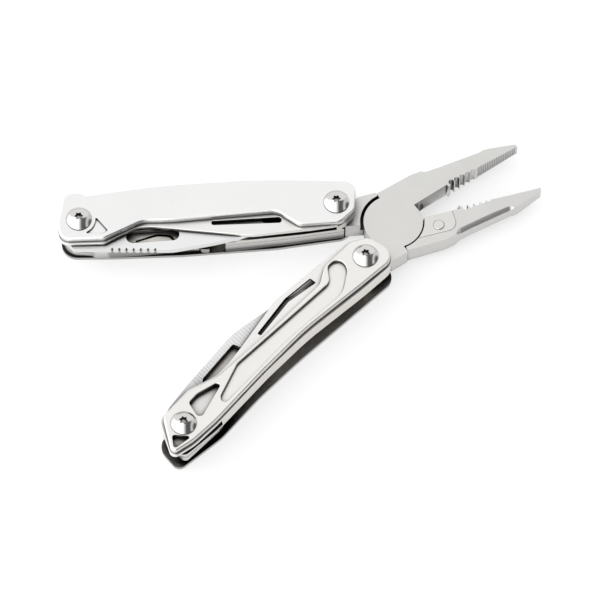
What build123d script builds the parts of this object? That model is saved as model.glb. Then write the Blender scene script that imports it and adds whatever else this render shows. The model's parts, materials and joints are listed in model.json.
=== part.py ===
from build123d import *
import os
from math import cos, radians, sin

# A butterfly multi tool lying on its back plates, pliers out and jaws open.
# +Y runs towards the jaws, +Z away from the table.  All sizes are millimetres and degrees.

# Driving dimensions of the layout
POST_SPAN = 82.0  # joint post to tool post along a handle
JOINT_POST_X = 8.1  # joint posts either side of the centre line, jaws closed
JOINT_POST_DROP = 16.6  # joint posts behind the pliers pivot, jaws closed
JAW_ANGLE = 9.6  # each jaw from the centre line as it lies
HANDLE_LEAN = 11.25  # each handle from the centre line, pliers out and jaws closed

# Layers from the back plates up, as (bottom, top)
BACK_PLATE = (0.0, 1.4)
REAR_BAY = (1.4, 9.2)
INNER_LINER = (9.2, 10.0)
BLADE_BAY = (10.0, 12.4)
LOCK_LINER = (12.4, 13.5)
FRONT_PLATE = (13.5, 15.5)
JAWS = (1.9, 8.7)
LAP_PLANE = (JAWS[0] + JAWS[1]) / 2

ALIGN_FOOT = (Align.CENTER, Align.CENTER, Align.MIN)

# Running clearances
LAYER_GAP = 0.12  # blade to the plates beside it
THIN_GAP = 0.03  # between a washer and what turns on it
BORE_GAP = 0.05  # radial, a hub on its post
LAP_GAP = 0.02  # each boss from the lap plane
SEAM = 0.12  # line between parts fitted together in one jaw

# Hardware
POST_RADIUS = 2.6
POST_HEAD_RADIUS = 3.7
POST_HEAD_DEPTH = 0.8
SCREW_SHANK_RADIUS = 1.5
SCREW_BORE_RADIUS = 1.6
SCREW_HEAD_RADIUS = 4.0
SCREW_HEAD_HEIGHT = 2.3
SCREW_RIM = 0.4
SOCKET_CORE_RADIUS = 1.0
SOCKET_LOBES = 6
SOCKET_LOBE_RADIUS = 0.34
SOCKET_DEPTH = 1.2
SHANK_TIP = 4.0  # height the screws reach down to
POST_BORE_BOTTOM = 3.0
POST_SLOT = (5.0, 0.9, 0.5)  # length, width and depth of the slot in the post's head
WASHER_RADIUS = 4.0
TOOL_WASHER = 0.2

# Pliers
BOSS_RADIUS = 9.5
JAW_CLEARANCE_RADIUS = 10.0
TANG_CLEARANCE_RADIUS = 10.6
RIVET_RADIUS = 3.5
RIVET_SKIN = 0.7  # metal left over the sealed rivet
HUB_RADIUS = 4.2
JAW_TIP = 49.0
GULLETS = 5
GULLET_PITCH = 2.0
GULLET_RADIUS = 0.9
FINE_TEETH = 21
FINE_PITCH = 0.7


def rounded(corners, side=1):
    """Upward face from corners written (along, inward, corner radius)."""
    ordered = corners[::side]
    points = [(along, side * inward) for along, inward, radius in ordered]
    radii = [radius for along, inward, radius in ordered]
    return make_face(FilletPolyline(*points, radius=radii, close=True))


def slab(face, layer):
    """The flat face raised to fill a layer."""
    bottom, top = layer
    return Pos(0, 0, bottom) * extrude(face, top - bottom, dir=(0, 0, 1))


def flared(face, layer):
    """The face raised to fill a layer, its sides leaning in towards the top."""
    bottom, top = layer
    return Pos(0, 0, bottom) * extrude(face, top - bottom, dir=(0, 0, 1), taper=FLARE)


def disc(radius, layer, along=0.0, inward=0.0):
    """Upright cylinder that fills a layer."""
    bottom, top = layer
    middle = (bottom + top) / 2
    return Pos(along, inward, middle) * Cylinder(radius, top - bottom)


def inset(layer, gap):
    """The layer made thinner by the gap at both faces."""
    return layer[0] + gap, layer[1] - gap


def soften(plate, radius):
    """Rounds the upper outline of a plate."""
    return fillet(plate.faces().sort_by(Axis.Z)[-1].outer_wire().edges(), radius)


def soften_holes(plate, radius):
    """Rounds the upper rims of the openings in a plate."""
    rims = [wire.edges() for wire in plate.faces().sort_by(Axis.Z)[-1].inner_wires()]
    return fillet([edge for rim in rims for edge in rim], radius)


def cut_bores(plate, radius):
    """The holes for both posts of a handle."""
    tall = (BACK_PLATE[0] - 1, FRONT_PLATE[1] + 1)
    return plate - disc(radius, tall) - disc(radius, tall, POST_SPAN)


# Outlines along a handle: (distance from the joint post, inward, corner radius)

KNIFE_OUTWARD_EDGE = [(-7.0, -7.1, 4.0), (24, -10.15, 240), (56, -10.2, 240)]
SAW_BACK_OUTWARD_EDGE = [(-6.4, -7.6, 4.4), (36, -5.7, 200), (54, -5.7, 90), (72.5, -7.1, 20)]

KNIFE_PLATE_OUTLINE = KNIFE_OUTWARD_EDGE + [
    (79.3, -8.25, 1.5), (81.3, -9.6, 1.4), (86.2, -9.3, 2.6), (88.9, 1.5, 12),
    (88.2, 6.9, 3.4), (74.4, 7.4, 3), (61.8, 1.95, 7), (53.2, 2.5, 60),
    (19.2, 1.65, 4.5), (12.4, 7.15, 3), (-0.9, 7.1, 3), (-5.5, 3.3, 3),
]
SAW_PLATE_OUTLINE = [
    (-6.3, -7.0, 4.2), (8, -6.2, 80), (32, -4.3, 90), (52, -5.0, 90), (74, -6.5, 30),
    (84, -6.35, 20), (92.1, -4.8, 1.6), (84.9, 6.3, 3), (72.6, 7.0, 4), (63.0, 3.95, 6),
    (40, 3.35, 80), (17.0, 3.65, 4.5), (11.4, 7.1, 4.5), (-0.6, 7.1, 3.6), (-5.6, 4.0, 3),
    (-6.9, -1.6, 8),
]
KNIFE_LOCK_OUTLINE = [
    (-6.6, -6.7, 3.6), (24, -9.8, 240), (56, -9.85, 240), (79.3, -8.0, 20),
    (86.0, -7.6, 2.4), (89.0, 1.5, 12), (88.7, 7.6, 3.4), (74.3, 8.3, 3),
    (64.0, 3.3, 8), (59, 3.35, 20), (27.5, 9.0, 16), (9.0, 8.1, 30), (0.1, 7.4, 0.4),
    (0.1, 5.7, 0.3), (-1.4, 5.6, 2), (-5.0, 2.8, 2),
]
SAW_LOCK_OUTLINE = [
    (-6.5, -7.5, 4.2), (8, -7.0, 80), (32, -5.05, 90), (50, -5.3, 90), (74, -7.0, 30),
    (84, -7.0, 20), (92.6, -5.3, 1.8), (86.0, 6.9, 3), (72, 7.9, 4), (62.5, 5.0, 6),
    (56.4, 5.35, 5), (50, 6.4, 12), (31.0, 10.2, 12), (8.5, 8.9, 20), (-0.6, 8.1, 3.2),
    (-5.8, 4.2, 3), (-7.2, -1.6, 8),
]
KNIFE_LINER_OUTLINE = [
    (-6.6, -6.6, 3.6), (24, -9.8, 240), (56, -9.85, 240), (79.3, -8.0, 20),
    (85.6, -7.4, 3), (87.6, 5.0, 4), (72, 6.4, 30), (50, 7.2, 60), (30, 8.7, 40),
    (12, 8.0, 60), (-0.8, 7.0, 3), (-5.3, 3.1, 3),
]
SAW_LINER_OUTLINE = [
    (-6.5, -7.9, 4.4), (8, -7.4, 80), (32, -5.5, 90), (50, -5.75, 90), (74, -7.3, 30),
    (89.0, -6.3, 2.6), (88.0, 4.6, 3.5), (72, 6.4, 12), (66, 8.6, 8), (48, 10.0, 20),
    (28, 10.3, 20), (12, 8.4, 20), (-0.8, 6.9, 3), (-5.7, 3.4, 2),
]
KNIFE_BACK_OUTLINE = KNIFE_OUTWARD_EDGE + [
    (79.3, -8.3, 20), (86.6, -7.7, 3), (89.0, 5.8, 5), (72, 7.0, 30), (50, 7.8, 60),
    (20, 7.6, 60), (-1.6, 5.9, 3), (-6.0, 3.0, 2.2),
]
SAW_BACK_OUTLINE = SAW_BACK_OUTWARD_EDGE + [
    (90.2, -5.3, 2.6), (88.8, 5.4, 5), (72, 7.0, 30), (50, 7.8, 60), (20, 7.6, 60),
    (-1.6, 5.9, 3), (-6.2, 3.4, 2.6), (-7.3, -1.8, 6),
]
FLARE = 10.5  # slope of the saw handle's side, wider towards the back

# The blade bay, open inward from the pad round the joint post
KNIFE_BAY = [
    (0.4, 14, 0), (0.4, 4.7, 1), (12, 4.3, 1.5), (12, -7.6, 2), (24, -8.7, 200), (56, -8.8, 200),
    (102, -6.6, 0), (102, 14, 0),
]
SAW_BAY = [
    (0.4, 14, 0), (0.4, 4.7, 1), (12, 4.3, 1.5), (12, -5.2, 2), (32, -4.0, 90), (50, -4.2, 90),
    (102, -6.8, 0), (102, 14, 0),
]
SPACER_END = 72.0  # where the closed wall of the bay stops, short of the tool post

# The web folded up from the back plate along the inward edge
WEB = 1.0  # thickness
WEB_SPAN = (-2.0, 36.0)
WEB_REACH = (5.5, 7.7)  # outer face at the foot, at its two ends
WEB_CROWN = 0.35  # how far its middle stands out from the straight line
WEB_BEND = 60.0  # radius of the gentle bend there
WEB_LEAN = 1.0  # how much further out its top stands
WEB_LINES = (3.4, 7.0)  # heights of the fine lines rolled along it
WEB_LINE = (0.2, 0.12)  # their width and depth

# Edges and sunk areas of the cover plates
PLATE_ROUNDING = 0.6
RIM_ROUNDING = 0.2
SMALL_POCKET_DEPTH = 0.7
LONG_POCKET_DEPTH = 1.3
POCKET_LAND = 1.2  # flat left between the small pocket and the screw head

# Inner tools, stacked between washers
TOOLS_IN_STACK = 3
TOOL_PITCH = (REAR_BAY[1] - REAR_BAY[0] - TOOL_WASHER) / TOOLS_IN_STACK

# Blades
BLADE_CUT = 10.0  # height of a cutter that goes right through a blade
THUMB_HOLE = (59.0, 5.95, 17.0, 4.4)  # along, inward, length, width
THUMB_NOTCHES = 7
THUMB_NOTCH_START = 58.5
THUMB_NOTCH_PITCH = 2.27
THUMB_NOTCH_WIDTH = 1.3
THUMB_NOTCH_LIFT = 0.35  # middle of each notch beyond the spine
SPINE_START = (53.0, 11.5)
SPINE_FALL = 0.083  # fall of the knife's spine per mm along
GRIND_TOP = 5.0  # where the hollow grind starts, inward
GRIND_EDGE = -7.0
GRIND_EDGE_HALF = 0.08  # half the thickness left at the edge
GRIND_START = 10.0
GRIND_LENGTH = 60.0
GROOVES = 34
GROOVE_START = 32.0
GROOVE_PITCH = 1.1
GROOVE_WIDTH = 0.5
GROOVE_DEPTH = 0.05
GROOVE_MIDDLE = -7.5
GROOVE_LENGTH = 10.0
SAW_TEETH = 30
SAW_TEETH_START = 22.0
SAW_TOOTH_PITCH = 1.5
SAW_TOOTH_GAP = 1.0
SAW_EDGE_START = 1.55
SAW_EDGE_SLOPE = 0.0316  # rise of the toothed edge per mm along
FILE_CUTS = 24
FILE_CUT_START = 43.5
FILE_CUT_PITCH = 0.8
FILE_CUT = (0.25, 9.0, 0.24)
FILE_CUT_MIDDLE = 4.0
FILE_CUT_ANGLE = 25.0


def front_plate_knife():
    plate = soften(slab(rounded(KNIFE_PLATE_OUTLINE), FRONT_PLATE), PLATE_ROUNDING)
    corners = [(76.6, -0.4, 0.5), (73.0, 4.7, 0.5), (74.4, 5.7, 0.6), (80.2, 5.3, 0.4)]
    pocket = rounded(corners) - Pos(POST_SPAN, 0) * Circle(SCREW_HEAD_RADIUS + POCKET_LAND)
    plate -= slab(pocket, (FRONT_PLATE[1] - SMALL_POCKET_DEPTH, FRONT_PLATE[1]))
    return cut_bores(plate, SCREW_BORE_RADIUS)


def front_plate_saw():
    plate = soften(slab(rounded(SAW_PLATE_OUTLINE, -1), FRONT_PLATE), PLATE_ROUNDING)
    long_recess = [
        (6.4, 6.2, 2.6), (11.1, 6.1, 2.2), (14.6, 1.7, 3), (34, 2.1, 80), (55.4, 2.6, 2.5),
        (67.2, -1.6, 2), (69.3, -3.9, 1.3), (66.9, -4.4, 1.3), (38, -2.9, 150),
        (14.4, -3.9, 8), (6.8, 1.2, 4.2),
    ]
    window = [
        (64.4, 1.1, 0.6), (65.0, 2.5, 0.6), (71.8, 4.2, 1.5), (75.8, 3.9, 1.2), (77.7, -2.9, 1.4),
    ]
    corner_window = [(87.4, -0.1, 0.8), (90.6, -4.2, 0.8), (84.4, -5.0, 0.5), (84.1, -4.2, 0.5)]
    plate -= slab(rounded(long_recess, -1), (FRONT_PLATE[1] - LONG_POCKET_DEPTH, FRONT_PLATE[1]))
    plate = soften_holes(plate - slab(rounded(window, -1), FRONT_PLATE), RIM_ROUNDING)
    return cut_bores(plate - slab(rounded(corner_window, -1), FRONT_PLATE), SCREW_BORE_RADIUS)


def lock_liner_knife():
    liner = soften(slab(rounded(KNIFE_LOCK_OUTLINE), LOCK_LINER), RIM_ROUNDING)
    slot = [(40.1, 2.75, 0.65), (40.0, 4.15, 0.65), (17.9, 4.95, 0.9), (17.7, 2.9, 0.9)]
    liner = soften_holes(liner - slab(rounded(slot), LOCK_LINER), RIM_ROUNDING)
    return cut_bores(liner, POST_RADIUS)


def lock_liner_saw():
    liner = soften(slab(rounded(SAW_LOCK_OUTLINE, -1), LOCK_LINER), RIM_ROUNDING)
    slit = [
        (17.0, 5.3, 0.4), (28.0, 6.85, 5), (42.6, 4.75, 0.5), (43.0, 6.1, 0.5),
        (28.1, 8.5, 5), (17.2, 7.8, 0.5),
    ]
    return cut_bores(liner - slab(rounded(slit, -1), LOCK_LINER), POST_RADIUS)


def inner_liner(side):
    """Plate under the blade bay; the knife side has a curved relief slot in it."""
    outline = KNIFE_LINER_OUTLINE if side > 0 else SAW_LINER_OUTLINE
    liner = slab(rounded(outline, side), INNER_LINER)
    if side > 0:
        arch = [
            (51.8, 7.0, 0), (53.0, 5.0, 2), (57.5, 4.2, 5), (64.6, 6.2, 0),
            (64.3, 6.8, 0), (57.4, 5.1, 5), (53.9, 5.7, 2), (52.6, 7.1, 0),
        ]
        liner -= slab(rounded(arch), INNER_LINER)
    return cut_bores(liner, POST_RADIUS)


def blade_spacer(side):
    """Wall of the blade bay along the outward edge, with a pad round the joint post."""
    outline, bay = (KNIFE_LINER_OUTLINE, KNIFE_BAY) if side > 0 else (SAW_LINER_OUTLINE, SAW_BAY)
    beyond = Pos(SPACER_END, 0) * Rectangle(POST_SPAN, POST_SPAN, align=(Align.MIN, Align.CENTER))
    raised = slab if side > 0 else flared
    inside = slab(rounded(bay, side), BLADE_BAY) + slab(beyond, BLADE_BAY)
    return cut_bores(raised(rounded(outline, side), BLADE_BAY) - inside, POST_RADIUS)


def web(side):
    """Leaning wall along the inward edge, with fine lines rolled along its outer face."""
    start, stop = WEB_SPAN
    low, high = WEB_REACH
    middle = ((start + stop) / 2, (low + high) / 2 + WEB_CROWN)
    outline = [
        (start, low, 0), (*middle, WEB_BEND), (stop, high, 0),
        (stop, high - WEB, 0), (middle[0], middle[1] - WEB, WEB_BEND), (start, low - WEB, 0),
    ]
    foot = rounded(outline, side)
    lean = Vector(0, side * WEB_LEAN, REAR_BAY[1])
    wall = extrude(foot, lean.length, dir=lean)
    width, depth = WEB_LINE
    for height in WEB_LINES:
        offset = WEB_LEAN * height / REAR_BAY[1]
        skin = Pos(0, side * (offset + depth)) * foot - Pos(0, side * (offset - depth)) * foot
        wall -= slab(skin, (height, height + width))
    return wall


def back_plate(side):
    """Back plate with the web folded up along its inward edge by the joint."""
    outline = KNIFE_BACK_OUTLINE if side > 0 else SAW_BACK_OUTLINE
    plate = cut_bores(slab(rounded(outline, side), BACK_PLATE) + web(side), POST_RADIUS)
    head = (BACK_PLATE[0], BACK_PLATE[0] + POST_HEAD_DEPTH)
    return plate - [disc(POST_HEAD_RADIUS, head, along) for along in (0, POST_SPAN)]


def screw():
    """Button head screw, its shank running down into the post."""
    face = FRONT_PLATE[1]
    top = face + SCREW_HEAD_HEIGHT
    rise = SCREW_HEAD_HEIGHT - SCREW_RIM
    dome_radius = (SCREW_HEAD_RADIUS**2 + rise**2) / (2 * rise)
    head = disc(SCREW_HEAD_RADIUS, (face, top)) & Pos(0, 0, top - dome_radius) * Sphere(dome_radius)
    head += disc(SCREW_SHANK_RADIUS, (SHANK_TIP, face))
    socket_layer = (top - SOCKET_DEPTH, top)
    socket = disc(SOCKET_CORE_RADIUS, socket_layer)
    for lobe in range(SOCKET_LOBES):
        turn = radians(360 / SOCKET_LOBES * lobe)
        along, across = SOCKET_CORE_RADIUS * cos(turn), SOCKET_CORE_RADIUS * sin(turn)
        socket += disc(SOCKET_LOBE_RADIUS, socket_layer, along, across)
    return head - socket


def post():
    """Flush headed barrel that the screw is driven into, slotted at the back."""
    barrel = disc(POST_RADIUS, (BACK_PLATE[0], LOCK_LINER[1]))
    barrel += disc(POST_HEAD_RADIUS, (BACK_PLATE[0], BACK_PLATE[0] + POST_HEAD_DEPTH))
    barrel -= disc(SCREW_BORE_RADIUS, (POST_BORE_BOTTOM, LOCK_LINER[1]))
    length, width, depth = POST_SLOT
    return barrel - Box(length, width, 2 * depth)


def pair(shape):
    """The same fastener at the joint and at the tool end."""
    return Compound([shape, Pos(POST_SPAN, 0) * shape])


def ring(outer, layer):
    return disc(outer, layer) - disc(POST_RADIUS + BORE_GAP / 2, layer)


def joint_washers():
    """Two washers that centre the pliers tang in the rear bay."""
    below = (REAR_BAY[0], JAWS[0] - THIN_GAP)
    above = (JAWS[1] + THIN_GAP, REAR_BAY[1])
    return Compound([ring(WASHER_RADIUS, layer) for layer in (below, above)])


def blade_washers():
    gap = LAYER_GAP - THIN_GAP
    below = (BLADE_BAY[0], BLADE_BAY[0] + gap)
    above = (BLADE_BAY[1] - gap, BLADE_BAY[1])
    return Compound([Pos(POST_SPAN, 0) * ring(WASHER_RADIUS, layer) for layer in (below, above)])


def tool_layer(level):
    """Layer of an inner tool: level 0 lies next to the back plate."""
    bottom = REAR_BAY[0] + TOOL_WASHER + level * TOOL_PITCH
    return bottom + THIN_GAP, bottom + TOOL_PITCH - TOOL_WASHER - THIN_GAP


def tool_washers():
    """Four washers between the plates and the three inner tools."""
    washers = []
    for level in range(TOOLS_IN_STACK + 1):
        bottom = REAR_BAY[0] + level * TOOL_PITCH
        washers.append(Pos(POST_SPAN, 0) * ring(WASHER_RADIUS, (bottom, bottom + TOOL_WASHER)))
    return Compound(washers)


def bore_tool(shape, layer):
    """Gives a blade or tool its hole for the tool post."""
    return shape - disc(POST_RADIUS + BORE_GAP, layer, POST_SPAN)


def knife_blade():
    """Sheepsfoot blade folded into its bay, cutting edge sheltered by the closed wall."""
    layer = inset(BLADE_BAY, LAYER_GAP)
    outline = [
        (88.0, 1.0, 5.0), (85.8, 6.6, 2.0), (84.4, 8.9, 0.6), (53.0, 11.5, 14), (40.5, 10.0, 30),
        (20.0, 6.6, 0.4), (31.0, -2.0, 26), (44.0, -5.6, 40), (68.0, -5.9, 1), (71.0, -4.2, 1.5),
        (77.5, -5.6, 4), (86.5, -5.4, 4.5),
    ]
    blade = slab(rounded(outline), layer)
    along, inward, length, width = THUMB_HOLE
    blade -= slab(Pos(along, inward) * SlotOverall(length, width), layer)
    for index in range(THUMB_NOTCHES):
        along = THUMB_NOTCH_START + THUMB_NOTCH_PITCH * index
        spine = SPINE_START[1] - (along - SPINE_START[0]) * SPINE_FALL
        notch = Rot(0, 0, 45) * Box(THUMB_NOTCH_WIDTH, THUMB_NOTCH_WIDTH, BLADE_CUT)
        blade -= Pos(along, spine + THUMB_NOTCH_LIFT, layer[1]) * notch
    # hollow grind: both flats fall away towards the cutting edge
    half = (layer[1] - layer[0]) / 2
    for face in (1, -1):
        grind = Polyline(
            (GRIND_TOP, half * face), (GRIND_EDGE, GRIND_EDGE_HALF * face),
            (GRIND_EDGE, BLADE_CUT * face), (GRIND_TOP, BLADE_CUT * face), close=True,
        )
        wedge = extrude(Plane.YZ * make_face(grind), GRIND_LENGTH, dir=(1, 0, 0))
        blade -= Pos(GRIND_START, 0, layer[0] + half) * wedge
    return bore_tool(blade, layer)


def saw_blade():
    """Saw blade folded into its bay, teeth sheltered by the closed wall."""
    layer = inset(BLADE_BAY, LAYER_GAP)
    outline = [
        (88.0, 0.0, 5.0), (86.3, 6.2, 3), (80.0, 8.2, 10), (70.3, 9.7, 20), (49.0, 11.95, 7),
        (44.0, 11.5, 20), (31.0, 9.55, 30), (20.5, 6.9, 1.2), (20.5, -1.4, 0.8), (68.0, -2.9, 1),
        (77.5, -5.2, 4), (87.0, -4.6, 4),
    ]
    blade = slab(rounded(outline, -1), layer)
    slot = [(50.4, 9.5, 0.8), (49.4, 6.6, 0.6), (56.0, 4.6, 1), (67.8, 6.1, 0.6), (65.6, 7.8, 1.0)]
    blade -= slab(rounded(slot, -1), layer)
    # fine grooves ground across the upper flat
    for index in range(GROOVES):
        along = GROOVE_START + GROOVE_PITCH * index
        blade -= Pos(along, GROOVE_MIDDLE, layer[1]) * Box(GROOVE_WIDTH, GROOVE_LENGTH, 2 * GROOVE_DEPTH)
    for index in range(SAW_TEETH):
        along = SAW_TEETH_START + SAW_TOOTH_PITCH * index
        edge = SAW_EDGE_START + (along - SAW_TEETH_START) * SAW_EDGE_SLOPE
        gap = Rot(0, 0, 45) * Box(SAW_TOOTH_GAP, SAW_TOOTH_GAP, BLADE_CUT)
        blade -= Pos(along, edge, layer[0]) * gap
    return bore_tool(blade, layer)


# Inner tools in their stacks: (along, inward, radius) outlines
HUB = [(87.2, -4.6, 4.2), (87.4, 5.2, 4.6), (78.6, 6.2, 1.2)]
TOOL_OUTLINES = {
    "can_opener": HUB + [
        (77.4, 7.0, 0.8), (60.0, 7.3, 40), (47.4, 6.9, 1.2), (46.4, 9.1, 0.8), (44.4, 9.4, 0.5),
        (44.6, 1.6, 0.6), (50.0, 0.9, 1.0), (51.0, 3.6, 1.2), (54.6, 3.4, 1.4), (58.6, -1.8, 3),
        (66.0, -3.6, 8), (76.0, -4.8, 3),
    ],
    "bottle_opener": HUB + [
        (77.4, 7.4, 0.8), (60.0, 7.8, 40), (44.6, 7.3, 1.2), (43.6, 8.9, 0.7), (41.2, 9.1, 0.5),
        (41.4, 2.0, 0.4), (46.0, 1.8, 1.0), (47.4, 4.4, 1.4), (52.4, 4.4, 1.6), (54.6, 0.2, 1.4),
        (66.0, -3.4, 8), (76.0, -4.8, 3),
    ],
    "large_screwdriver": HUB + [
        (77.4, 7.2, 0.8), (60.0, 7.2, 40), (44.0, 7.0, 1), (41.6, 6.8, 0.2), (41.6, 1.8, 0.2),
        (52.0, 1.4, 4), (60.0, -1.6, 6), (76.0, -4.8, 3),
    ],
    "metal_file": [
        (87.6, -5.9, 1.6), (87.2, 5.2, 4.6), (78.6, 6.2, 1.2), (77.4, 7.2, 0.8), (60.0, 7.4, 40),
        (42.0, 7.2, 1.0), (41.6, 1.8, 0.8), (52.0, 0.6, 10), (64.0, -2.0, 6), (70.4, -5.9, 1.2),
    ],
    "cross_screwdriver": [
        (87.6, -5.9, 1.6), (87.2, 5.2, 4.6), (78.6, 6.2, 1.2), (77.4, 7.4, 0.8), (60.0, 7.4, 2),
        (58.0, 5.9, 2), (46.0, 5.7, 1), (42.6, 5.0, 0.6), (42.6, 4.0, 0.6), (46.0, 3.3, 1),
        (58.0, 3.1, 3), (62.0, -1.0, 4), (70.8, -5.9, 1.2),
    ],
    "small_screwdriver": HUB + [
        (77.4, 7.2, 0.8), (62.0, 7.0, 4), (56.0, 5.8, 4), (43.0, 5.4, 0.2), (43.0, 3.0, 0.2),
        (56.0, 2.4, 4), (62.0, -0.6, 4), (76.0, -4.8, 3),
    ],
}
TOOL_STACKS = {
    1: ("large_screwdriver", "bottle_opener", "can_opener"),
    -1: ("small_screwdriver", "cross_screwdriver", "metal_file"),
}


def inner_tool(name, side):
    layer = tool_layer(TOOL_STACKS[side].index(name))
    tool = slab(rounded(TOOL_OUTLINES[name], side), layer)
    if name == "metal_file":
        for index in range(FILE_CUTS):
            along = FILE_CUT_START + FILE_CUT_PITCH * index
            cut = Rot(0, 0, FILE_CUT_ANGLE) * Box(*FILE_CUT)
            for face in layer:
                tool -= Pos(along, side * FILE_CUT_MIDDLE, face) * cut
    return bore_tool(tool, layer)


# Pliers: a jaw with its boss and tang, drawn closed, jaw to the left and tang to the right

def jaw_plan():
    corners = [
        (-0.05, JAW_TIP, 0), (-1.2, JAW_TIP, 0.5), (-5.0, 39.8, 25), (-8.5, 23.0, 30),
        (-10.7, 14.6, 9), (-11.3, 1.4, 0.3), (-0.05, 1.4, 0), (-0.05, 21.9, 0),
        (-0.6, 22.6, 0), (-0.6, 33.0, 0),
    ]
    return rounded(corners)


def tang_plan():
    corners = [
        (3.0, -2.4, 0), (1.0, -8.0, 0), (2.45, -15.38, 0.3), (4.4, -14.98, 0),
        (JOINT_POST_X, -JOINT_POST_DROP, 0), (12.25, -15.2, 0), (12.1, -10.9, 1.0),
        (11.1, -9.4, 0.6), (11.5, -8.6, 0.3), (11.6, -2.4, 0.3),
    ]
    hub = Pos(JOINT_POST_X, -JOINT_POST_DROP) * Circle(HUB_RADIUS)
    return rounded(corners) + hub


def cutter_plan(seam):
    """Outline of the wire cutter insert, smaller than its pocket by the seam."""
    corners = [
        (1.0, 6.0, 0), (1.0, 19.3 - seam, 0), (-8.0 + seam, 19.3 - seam, 3.0), (-8.0 + seam, 6.0, 0),
    ]
    return rounded(corners) - Circle(JAW_CLEARANCE_RADIUS)


def face_cut(corners, angle, depth):
    """A region sunk from both faces of the jaw, its walls sloping back at the angle."""
    plan = rounded(corners)
    from_front = Pos(0, 0, JAWS[1]) * extrude(plan, depth, dir=(0, 0, -1), taper=angle)
    return from_front, from_front.mirror(Plane.XY.offset(LAP_PLANE))


# Shapes sunk into the jaws
CUTTER_BEVEL = [(-1.2, 9.0, 0), (-1.2, 21.9, 0), (12.0, 21.9, 0), (12.0, 9.0, 0)]
CUTTER_BEVEL_ANGLE = 18.0
SCOOP_RUN = [(-7.9, 20.0), (-4.2, 36.6)]  # crest of the hollow along each flank
SCOOP_RADIUS = 3.0
SCOOP_LIFT = 1.4  # height of the hollow's axis over the face
TAPER_START = 30.0
TAPER_DROP = 1.3  # fall of each face at the tip
GULLET_START = 23.6
GULLET_REACH = (1.15, 0.22)  # depth of the first gullet and how much each next one loses
BITE_START = 33.0
BITE_EASE = 0.55  # how far the bite falls back by BITE_START
BITE_GAP = 0.05  # half the gap left at the tip
FINE_START = 34.0
FINE_TOOTH = 0.42
CUTTER_PIN = (-5.1, 13.65)
CUTTER_PIN_RADIUS = 1.75
CUTTER_PIN_DEPTH = 1.5  # how far the pin runs on past the insert
CUTTER_PIN_PROUD = 0.25
WIRE_NOTCH = (0.0, 11.0)
WIRE_NOTCH_RADIUS = 1.1
TOOTH_CUT = 10.0  # height of a cutter that goes right through a jaw


def scoop():
    """Hollow with round ends along the left jaw's flank, sunk from the upper face."""
    start, stop = [Vector(*point, JAWS[1] + SCOOP_LIFT) for point in SCOOP_RUN]
    run = stop - start
    reach = (SCOOP_RADIUS**2 - SCOOP_LIFT**2) ** 0.5
    out = run.rotate(Axis.Z, 90).normalized() * reach
    bar = Plane(start + out, z_dir=run) * Cylinder(SCOOP_RADIUS, run.length, align=ALIGN_FOOT)
    return bar + [Pos(*(end + out)) * Sphere(SCOOP_RADIUS) for end in (start, stop)]


def jaw():
    """The jaw on the left whose boss is the upper half of the lap joint."""
    upper = (LAP_PLANE + LAP_GAP, JAWS[1])
    body = slab(jaw_plan() - Circle(JAW_CLEARANCE_RADIUS), JAWS)
    body += slab(tang_plan() - Circle(TANG_CLEARANCE_RADIUS), JAWS)
    body += slab(Circle(BOSS_RADIUS) + jaw_plan() + tang_plan(), upper)

    body -= disc(RIVET_RADIUS + THIN_GAP, (LAP_PLANE - 1, JAWS[1] - RIVET_SKIN))
    body -= disc(POST_RADIUS + BORE_GAP, JAWS, JOINT_POST_X, -JOINT_POST_DROP)

    hollow = scoop()
    body -= [hollow, hollow.mirror(Plane.XY.offset(LAP_PLANE))]
    beyond = JAW_TIP + 2
    drop = TAPER_DROP * (beyond - TAPER_START) / (JAW_TIP - TAPER_START)
    taper = Polyline((TAPER_START, JAWS[1]), (beyond, JAWS[1]), (beyond, JAWS[1] - drop), close=True)
    wedge = extrude(Plane.YZ * make_face(taper), BOSS_RADIUS * 3, dir=(1, 0, 0), both=True)
    body -= wedge
    body -= wedge.mirror(Plane.XY.offset(LAP_PLANE))

    first, loss = GULLET_REACH
    for index in range(GULLETS):
        body -= disc(GULLET_RADIUS, JAWS, loss * index - first, GULLET_START + GULLET_PITCH * index)
    slope = BITE_EASE / (JAW_TIP - BITE_START)
    tooth = Rot(0, 0, 45) * Box(FINE_TOOTH, FINE_TOOTH, TOOTH_CUT)
    for index in range(FINE_TEETH):
        along = FINE_START + FINE_PITCH * index
        body -= Pos(-BITE_GAP - slope * (JAW_TIP - along), along, LAP_PLANE) * tooth

    body -= slab(cutter_plan(0), (JAWS[0], LAP_PLANE))
    for cut in face_cut(CUTTER_BEVEL, CUTTER_BEVEL_ANGLE, LAP_PLANE - JAWS[0]):
        body -= cut
    body -= disc(WIRE_NOTCH_RADIUS, JAWS, *WIRE_NOTCH)
    pin_hole = (JAWS[0], LAP_PLANE + CUTTER_PIN_DEPTH)
    return body - disc(CUTTER_PIN_RADIUS, pin_hole, *CUTTER_PIN)


def jaw_cutter():
    """Wire cutter insert in the back of the left jaw."""
    insert = slab(cutter_plan(SEAM) & jaw_plan(), (JAWS[0], LAP_PLANE))
    insert -= face_cut(CUTTER_BEVEL, CUTTER_BEVEL_ANGLE, LAP_PLANE - JAWS[0])[1]
    insert -= disc(WIRE_NOTCH_RADIUS, JAWS, *WIRE_NOTCH)
    return insert - disc(CUTTER_PIN_RADIUS + SEAM / 2, JAWS, *CUTTER_PIN)


def jaw_cutter_pin():
    """Pin that holds the insert, standing a little proud of it."""
    layer = (JAWS[0] - CUTTER_PIN_PROUD, LAP_PLANE + CUTTER_PIN_DEPTH)
    pin = disc(CUTTER_PIN_RADIUS - SEAM / 2, layer, *CUTTER_PIN)
    return chamfer(pin.edges().sort_by(Axis.Z)[0], 0.15)


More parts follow.
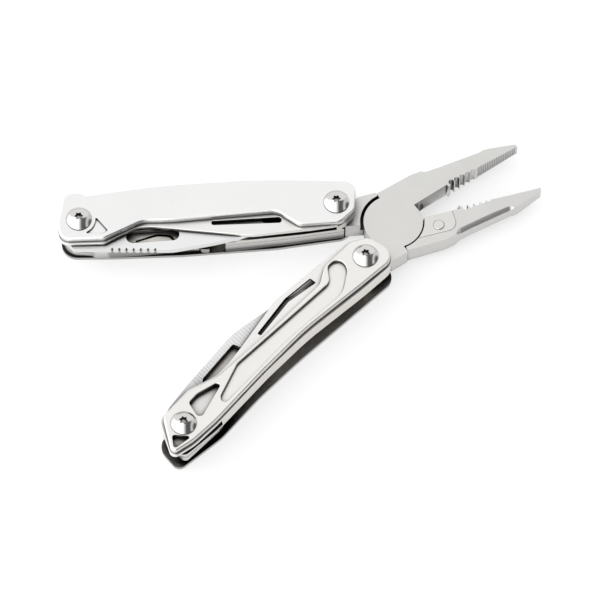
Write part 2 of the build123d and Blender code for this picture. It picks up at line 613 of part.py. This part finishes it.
def flipped(shape):
    """The left jaw's part turned over to serve the right jaw."""
    return Pos(0, 0, 2 * LAP_PLANE) * Rot(0, 180, 0) * shape


def pivot_rivet():
    return disc(RIVET_RADIUS, (JAWS[0] + RIVET_SKIN + THIN_GAP, JAWS[1] - RIVET_SKIN - THIN_GAP))


def joint_post(side):
    """Where a handle's joint post lies with the jaws open."""
    closed = Vector(-side * JOINT_POST_X, -JOINT_POST_DROP, 0)
    return closed.rotate(Axis.Z, -side * JAW_ANGLE)


def handle_place(side):
    """Places handle shapes, drawn along +X from the joint post."""
    start = joint_post(side)
    return Pos(start.X, start.Y) * Rot(0, 0, -90 - side * (HANDLE_LEAN + JAW_ANGLE))


def handle_nodes(side, word):
    front, lock = (front_plate_knife, lock_liner_knife) if side > 0 else (front_plate_saw, lock_liner_saw)
    nodes = {
        f"{word}_front_plate": front(),
        f"{word}_lock_liner": lock(),
        f"{word}_blade_spacer": blade_spacer(side),
        f"{word}_inner_liner": inner_liner(side),
        f"{word}_back_plate": back_plate(side),
        f"{word}_handle_screws": pair(screw()),
        f"{word}_handle_posts": pair(post()),
        f"{word}_joint_washers": joint_washers(),
        f"{word}_blade_washers": blade_washers(),
        f"{word}_tool_washers": tool_washers(),
        f"{word}_blade": knife_blade() if side > 0 else saw_blade(),
    }
    for name in TOOL_STACKS[side]:
        nodes[name] = inner_tool(name, side)
    place = handle_place(side)
    return {name: place * shape for name, shape in nodes.items()}


def pliers_nodes():
    parts = {"jaw": jaw(), "jaw_cutter": jaw_cutter(), "jaw_cutter_pin": jaw_cutter_pin()}
    nodes = {"pivot_rivet": pivot_rivet()}
    for name, shape in parts.items():
        nodes["front_" + name] = Rot(0, 0, JAW_ANGLE) * shape
        nodes["rear_" + name] = Rot(0, 0, -JAW_ANGLE) * flipped(shape)
    return nodes


def all_nodes():
    """Every node, in a frame whose origin is under the pliers pivot."""
    return {**pliers_nodes(), **handle_nodes(1, "knife"), **handle_nodes(-1, "saw")}


def origin_shift(nodes):
    """Moves the origin to the middle of the assembly's footprint."""
    box = Compound(list(nodes.values())).bounding_box()
    middle = box.center()
    return Vector(-middle.X, -middle.Y, -box.min.Z)


NODES = all_nodes()
SHIFT = origin_shift(NODES)

os.makedirs("parts", exist_ok=True)
for name, shape in NODES.items():
    export_step(Pos(*SHIFT) * shape, f"parts/{name}.step")
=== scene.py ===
import json
import math

import bpy
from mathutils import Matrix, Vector


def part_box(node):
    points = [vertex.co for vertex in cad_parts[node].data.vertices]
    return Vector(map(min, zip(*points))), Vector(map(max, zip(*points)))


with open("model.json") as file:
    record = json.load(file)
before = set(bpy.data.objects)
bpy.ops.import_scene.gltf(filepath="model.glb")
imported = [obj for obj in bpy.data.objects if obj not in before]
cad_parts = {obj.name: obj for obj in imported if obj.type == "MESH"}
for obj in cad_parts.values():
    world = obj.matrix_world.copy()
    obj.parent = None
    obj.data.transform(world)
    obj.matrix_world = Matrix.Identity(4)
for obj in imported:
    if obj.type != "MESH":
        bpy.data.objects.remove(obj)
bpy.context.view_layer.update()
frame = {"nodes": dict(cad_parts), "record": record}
nodes = frame["nodes"]

MM = 0.001
HANDLE_LEAN = math.radians(20.85)  # each handle from the centre line as it lies

# Camera: long lens, close to a parallel view
VIEW_AZIMUTH = math.radians(64.8)
VIEW_ELEVATION = math.radians(62.2)
VIEW_DISTANCE = 1.6
VIEW_FIELD = 188.9 * MM  # width of what the frame takes in, at the aim point
AIM_FROM_PIVOT = Vector((16.2, -40.5, 15.5)) * MM  # z counts from the table
SENSOR_WIDTH = 36

# Studio: where the panel and the dark side lie, and how bright each part is
PANEL_WAY = (-0.80, 0.38, 0.47)
DARK_WAY = (0.43, 0.905, 0.0)
PANEL = 1.15
CARD = 2.2
DARK = 0.15
# Edges of its parts, as cosines of the angle from their direction
PANEL_EDGE = (0.60, 0.66)
CARD_TO_DARK = (-0.16, 0.30)
BAND_START = (0.72, 0.80)
BAND_END = (0.88, 0.95)
BAND = 0.8  # brightness of the thin band on the dark side

FLOOR_SIZE = 6.0
FLOOR_GAP = 0.1 * MM  # kept under the part, so that the two don't share a plane
FLOOR_PATCHES = 3.0
FLOOR_DARK = (0.34, 0.34, 0.34)
FLOOR_LIGHT = (0.35, 0.35, 0.35)
FLOOR_ROUGHNESS = 0.9
FLOOR_SPECULAR = 0.1
FLOOR_GLOW = 0.66

# Steel: painted shade in corners and cavities
LINE_REACH = 0.9 * MM
LINE_PAINTED_SHADE_DARKEST = 0.25
CAVITY_REACH = 7.0 * MM
CAVITY_PAINTED_SHADE_DARKEST = 0.04
AO_SAMPLES = 12
# Painted shade span for the saw blade: shares of open view at which it is darkest and at which it
# is gone
OPEN_BAY_SHADE_SPAN = (0.6, 0.97)
# Below the back plate's top the painted shade is held no darker than EDGE_SHADE
BACK_PLATE_TOP = 1.35 * MM
EDGE_BLEND = 0.3 * MM
EDGE_SHADE = 0.75

# Steel: surface
ALONG_X = (0.02, 1, 1)
ALONG_Y = (1, 0.02, 1)
SHORT_ALONG_X = (0.04, 1, 1)
PATCH_SCALE = 55.0
SPECK_SCALE = 900.0
TINT_SPAN = (0.35, 0.65)
SMEAR_SPAN = (0.3, 0.7)
MARK_SPAN = (0.6, 0.75)
BUMP_HEIGHT = 0.02 * MM

# Ring round an inner tool's post that keeps a bright steel colour; the rest of the tool carries
# painted shade
HUB_RADIUS = 11.0 * MM
HUB_BLEND = 0.6 * MM
HUB_COLOUR = (0.62, 0.61, 0.60, 1)


# Node helpers

class Nodes:
    """Adds and links nodes in one tree."""

    def __init__(self, tree):
        self.tree = tree
        tree.nodes.clear()

    def add(self, kind, inputs=None, **settings):
        node = self.tree.nodes.new("ShaderNode" + kind)
        for name, value in settings.items():
            setattr(node, name, value)
        for name, value in (inputs or {}).items():
            self.set(node.inputs[name], value)
        return node

    def set(self, socket, value):
        if isinstance(value, bpy.types.NodeSocket):
            self.tree.links.new(value, socket)
        else:
            socket.default_value = value

    def math(self, operation, first, second=0.0, clamp=False):
        node = self.add("Math", operation=operation, use_clamp=clamp)
        self.set(node.inputs[0], first)
        self.set(node.inputs[1], second)
        return node.outputs[0]

    def span(self, value, low, high, to_low, to_high):
        """Maps a value from one range to another, without going past it."""
        return self.add("MapRange", {"Value": value, "From Min": low, "From Max": high,
                                     "To Min": to_low, "To Max": to_high}).outputs[0]

    def place(self, turn=0.0, scale=(1, 1, 1)):
        """Object coordinates turned about Z, then stretched."""
        coordinates = self.add("TexCoord").outputs["Object"]
        turned = self.add("Mapping", {"Vector": coordinates, "Rotation": (0, 0, turn)})
        return self.add("Mapping", {"Vector": turned.outputs[0], "Scale": scale}).outputs[0]

    def noise(self, place, scale, detail=3.0, roughness=0.5):
        inputs = {"Vector": place, "Scale": scale, "Detail": detail, "Roughness": roughness}
        return self.add("TexNoise", inputs).outputs["Fac"]

    def scale(self, colour, factor):
        node = self.add("VectorMath", {"Scale": factor}, operation="SCALE")
        self.set(node.inputs[0], colour)
        return node.outputs[0]

    def hub(self, colour, bare):
        """The colour, made bright round an upright axis through the point bare."""
        away = self.add("VectorMath", operation="SUBTRACT")
        self.set(away.inputs[0], self.add("TexCoord").outputs["Object"])
        self.set(away.inputs[1], bare)
        flat = self.add("VectorMath", operation="MULTIPLY")
        self.set(flat.inputs[0], away.outputs[0])
        self.set(flat.inputs[1], (1, 1, 0))
        distance = self.add("VectorMath", operation="LENGTH")
        self.set(distance.inputs[0], flat.outputs[0])
        inside = self.span(distance.outputs["Value"], HUB_RADIUS, HUB_RADIUS + HUB_BLEND, 1.0, 0.0)
        mix = self.add("Mix", {"Factor": inside}, data_type="RGBA")
        self.set(mix.inputs["A"], colour)
        self.set(mix.inputs["B"], HUB_COLOUR)
        return mix.outputs["Result"]

    def tint(self, value, dark, light):
        """Colour between dark and light as the value runs from 0 to 1."""
        ramp = self.add("ValToRGB", {"Fac": value})
        ramp.color_ramp.elements[0].color = (*dark, 1)
        ramp.color_ramp.elements[1].color = (*light, 1)
        return ramp.outputs[0]


def scaled(colour, factor):
    return tuple(min(1.0, part * factor) for part in colour)


def steel(name, colour, roughness, turn=0.0, grain=(1, 1, 1), grain_scale=3000.0, depth=0.1,
          marks=0.04, smear=0.04, contrast=0.03, line=(0.42, 0.8), cavity=(0.3, 0.75), bare=None,
          foot=0.0):
    """Steel with a surface grain, faint handling smears and a few finer marks.

    turn is the way the part lies, and grain stretches the grain pattern: a small number along one
    axis draws it out into lines there. depth is how strong the grain's bumps are.
    Corners and cavities get painted shade: line and cavity are the shares of open view at which the
    painted shade is darkest and at which it is gone, for metal close by and for metal further off.
    bare is the centre of a hub that keeps a bright steel colour, on a part that is
    otherwise darkened as painted shade.
    Below the height foot a surface is an outer edge, where the painted shade from the floor beside
    it is kept light."""
    material = bpy.data.materials.new(name)
    material.use_nodes = True
    n = Nodes(material.node_tree)
    lines = n.noise(n.place(turn, grain), grain_scale, detail=4.0, roughness=0.6)
    patches = n.noise(n.place(), PATCH_SCALE, detail=4.0, roughness=0.55)
    specks = n.noise(n.place(), SPECK_SCALE, detail=2.0)
    tone = n.math("ADD", n.math("MULTIPLY", lines, 0.5), n.math("MULTIPLY", patches, 0.5))
    tone = n.span(tone, *TINT_SPAN, 0.0, 1.0)
    base = n.tint(tone, scaled(colour, 1 - contrast), scaled(colour, 1 + contrast))
    if bare is not None:
        base = n.hub(base, bare)
    # Painted shade: the colour is darkened where little of the surroundings is open to view, close
    # by and further off
    for reach, (shut, clear), darkest in ((LINE_REACH, line, LINE_PAINTED_SHADE_DARKEST),
                                          (CAVITY_REACH, cavity, CAVITY_PAINTED_SHADE_DARKEST)):
        view = n.add("AmbientOcclusion", {"Distance": reach}, samples=AO_SAMPLES).outputs["AO"]
        shade = n.span(view, shut, clear, darkest, 1.0)
        if foot:
            place = n.add("TexCoord").outputs["Object"]
            height = n.add("SeparateXYZ", {"Vector": place}).outputs["Z"]
            edge = n.span(height, foot - EDGE_BLEND, foot, EDGE_SHADE, 0.0)
            shade = n.math("MAXIMUM", shade, edge)
        base = n.scale(base, shade)
    rough = n.math("ADD", n.span(patches, *SMEAR_SPAN, roughness - smear, roughness + smear),
                   n.span(specks, *MARK_SPAN, 0.0, marks))
    bump = n.add("Bump", {"Height": lines, "Strength": depth, "Distance": BUMP_HEIGHT})
    shader = n.add("BsdfPrincipled", {"Base Color": base, "Roughness": rough, "Metallic": 1.0,
                                      "Normal": bump.outputs[0]})
    n.set(n.add("OutputMaterial").inputs["Surface"], shader.outputs[0])
    return material


def hinge(name):
    """Where a joint of the record stands, in metres."""
    return next(Vector(joint["pos_m"]) for joint in frame["record"]["behaviour"]["joints"]
                if joint["name"] == name)


# Materials

satin = steel("satin_plate", (0.76, 0.76, 0.755), 0.27, grain_scale=9000.0, depth=0.01,
              marks=0.01, contrast=0.012)
grained = steel("grained_plate", (0.745, 0.73, 0.705), 0.33, grain_scale=5200.0, depth=0.12)
blasted = steel("blasted_jaw", (0.60, 0.595, 0.58), 0.36, grain_scale=4200.0, depth=0.22,
                contrast=0.045)
polished = steel("polished_screw", (0.60, 0.59, 0.58), 0.16, grain_scale=900.0, depth=0.01,
                 marks=0.05, smear=0.03, contrast=0.02)
turned = steel("hardware", (0.60, 0.60, 0.59), 0.28, depth=0.08)
ground = steel("cutter", (0.64, 0.63, 0.61), 0.30, grain=SHORT_ALONG_X, depth=0.15)
TURNS = {"knife": HANDLE_LEAN, "saw": -HANDLE_LEAN}
# Inner tools are coloured dark as painted shade for the handle bays they sit in, the saw side near
# black
TOOL_PAINTED_SHADE_COLOUR = {"knife": (0.34, 0.33, 0.32), "saw": (0.06, 0.06, 0.055)}
TOOL_HINGE = {"knife": "can_opener_open", "saw": "metal_file_open"}
liner, channel, back, tool = {}, {}, {}, {}
for side, turn in TURNS.items():
    liner[side] = steel(f"lock_liner_{side}", (0.74, 0.73, 0.715), 0.30, turn, ALONG_Y,
                        grain_scale=3200.0, depth=0.12, cavity=(0.4, 0.8))
    channel[side] = steel(f"channel_{side}", (0.68, 0.65, 0.61), 0.30, turn, ALONG_Y,
                          grain_scale=2400.0, depth=0.16, cavity=(0.25, 0.72))
    back[side] = steel(f"back_plate_{side}", (0.60, 0.59, 0.57), 0.30, turn, ALONG_Y,
                       grain_scale=2400.0, depth=0.16, cavity=(0.7, 1.0), foot=BACK_PLATE_TOP)
    tool[side] = steel(f"inner_tool_{side}", TOOL_PAINTED_SHADE_COLOUR[side], 0.30, turn,
                       grain_scale=2200.0, depth=0.12, cavity=(0.4, 0.85),
                       bare=hinge(TOOL_HINGE[side]))
blade_knife = steel("knife_blade", (0.74, 0.74, 0.74), 0.24, TURNS["knife"], ALONG_Y,
                    grain_scale=2600.0, depth=0.06, cavity=(0.5, 0.88))
blade_saw = steel("saw_blade", (0.76, 0.76, 0.76), 0.28, TURNS["saw"], ALONG_X,
                  grain_scale=1800.0, depth=0.05, cavity=OPEN_BAY_SHADE_SPAN)

MATERIALS = {
    "knife_front_plate": satin,
    "saw_front_plate": grained,
    "front_jaw": blasted,
    "rear_jaw": blasted,
    "pivot_rivet": turned,
    "knife_blade": blade_knife,
    "saw_blade": blade_saw,
}
TOOLS = {
    "knife": ("large_screwdriver", "bottle_opener", "can_opener"),
    "saw": ("small_screwdriver", "cross_screwdriver", "metal_file"),
}
for side, names in TOOLS.items():
    MATERIALS[f"{side}_lock_liner"] = liner[side]
    MATERIALS[f"{side}_handle_screws"] = polished
    MATERIALS[f"{side}_back_plate"] = back[side]
    for part in ("inner_liner", "blade_spacer"):
        MATERIALS[f"{side}_{part}"] = channel[side]
    for part in ("handle_posts", "joint_washers", "blade_washers", "tool_washers"):
        MATERIALS[f"{side}_{part}"] = turned
    for name in names:
        MATERIALS[name] = tool[side]
for jaw in ("front_jaw", "rear_jaw"):
    MATERIALS[f"{jaw}_cutter"] = ground
    MATERIALS[f"{jaw}_cutter_pin"] = ground

for name, node in nodes.items():
    node.data.materials.clear()
    node.data.materials.append(MATERIALS[name])


# Floor and light

def make_floor():
    bpy.ops.mesh.primitive_plane_add(size=FLOOR_SIZE, location=(0, 0, -FLOOR_GAP))
    floor = bpy.context.object
    floor.name = "floor"
    material = bpy.data.materials.new("pale_floor")
    material.use_nodes = True
    n = Nodes(material.node_tree)
    shade = n.tint(n.noise(n.place(), FLOOR_PATCHES), FLOOR_DARK, FLOOR_LIGHT)
    shader = n.add("BsdfPrincipled", {
        "Base Color": shade, "Roughness": FLOOR_ROUGHNESS, "Specular IOR Level": FLOOR_SPECULAR,
        "Emission Color": (1, 1, 1, 1), "Emission Strength": FLOOR_GLOW})
    n.set(n.add("OutputMaterial").inputs["Surface"], shader.outputs[0])
    floor.data.materials.append(material)


def make_world():
    """Soft panel behind the object, a white card at its left and a dark side at its right.

    The dark side has a thin brighter band. All of it is set by two fixed directions."""
    world = bpy.data.worlds.new("studio")
    bpy.context.scene.world = world
    world.use_nodes = True
    n = Nodes(world.node_tree)
    direction = n.add("TexCoord").outputs["Generated"]

    def towards(way):
        dot = n.add("VectorMath", operation="DOT_PRODUCT")
        n.set(dot.inputs[0], direction)
        n.set(dot.inputs[1], Vector(way).normalized())
        return dot.outputs["Value"]

    right = towards(DARK_WAY)
    panel = n.span(towards(PANEL_WAY), *PANEL_EDGE, 0.0, 1.0)
    band = n.math("MULTIPLY", n.span(right, *BAND_START, 0.0, 1.0),
                  n.span(right, *BAND_END, BAND, 0.0))
    front = n.math("ADD", n.span(right, *CARD_TO_DARK, CARD, DARK), band)
    strength = n.math("ADD", n.math("MULTIPLY", panel, PANEL),
                      n.math("MULTIPLY", n.math("SUBTRACT", 1.0, panel), front))
    background = n.add("Background", {"Color": (1, 1, 1, 1), "Strength": strength})
    n.set(n.add("OutputWorld").inputs["Surface"], background.outputs[0])


def make_camera():
    """A long lens at the photograph's angle, aimed from the pivot's place."""
    low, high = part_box("pivot_rivet")
    aim = Vector(((low.x + high.x) / 2, (low.y + high.y) / 2, 0)) + AIM_FROM_PIVOT
    flat = math.cos(VIEW_ELEVATION)
    back = Vector((math.sin(VIEW_AZIMUTH) * flat, -math.cos(VIEW_AZIMUTH) * flat,
                   math.sin(VIEW_ELEVATION)))
    camera = bpy.data.cameras.new("camera")
    camera.sensor_width = SENSOR_WIDTH
    camera.lens = camera.sensor_width * VIEW_DISTANCE / VIEW_FIELD
    holder = bpy.data.objects.new("camera", camera)
    holder.location = aim + back * VIEW_DISTANCE
    holder.rotation_euler = back.to_track_quat("Z", "Y").to_euler()
    bpy.context.scene.collection.objects.link(holder)
    bpy.context.scene.camera = holder


make_floor()
make_world()
make_camera()
bpy.context.scene.view_settings.view_transform = "Standard"
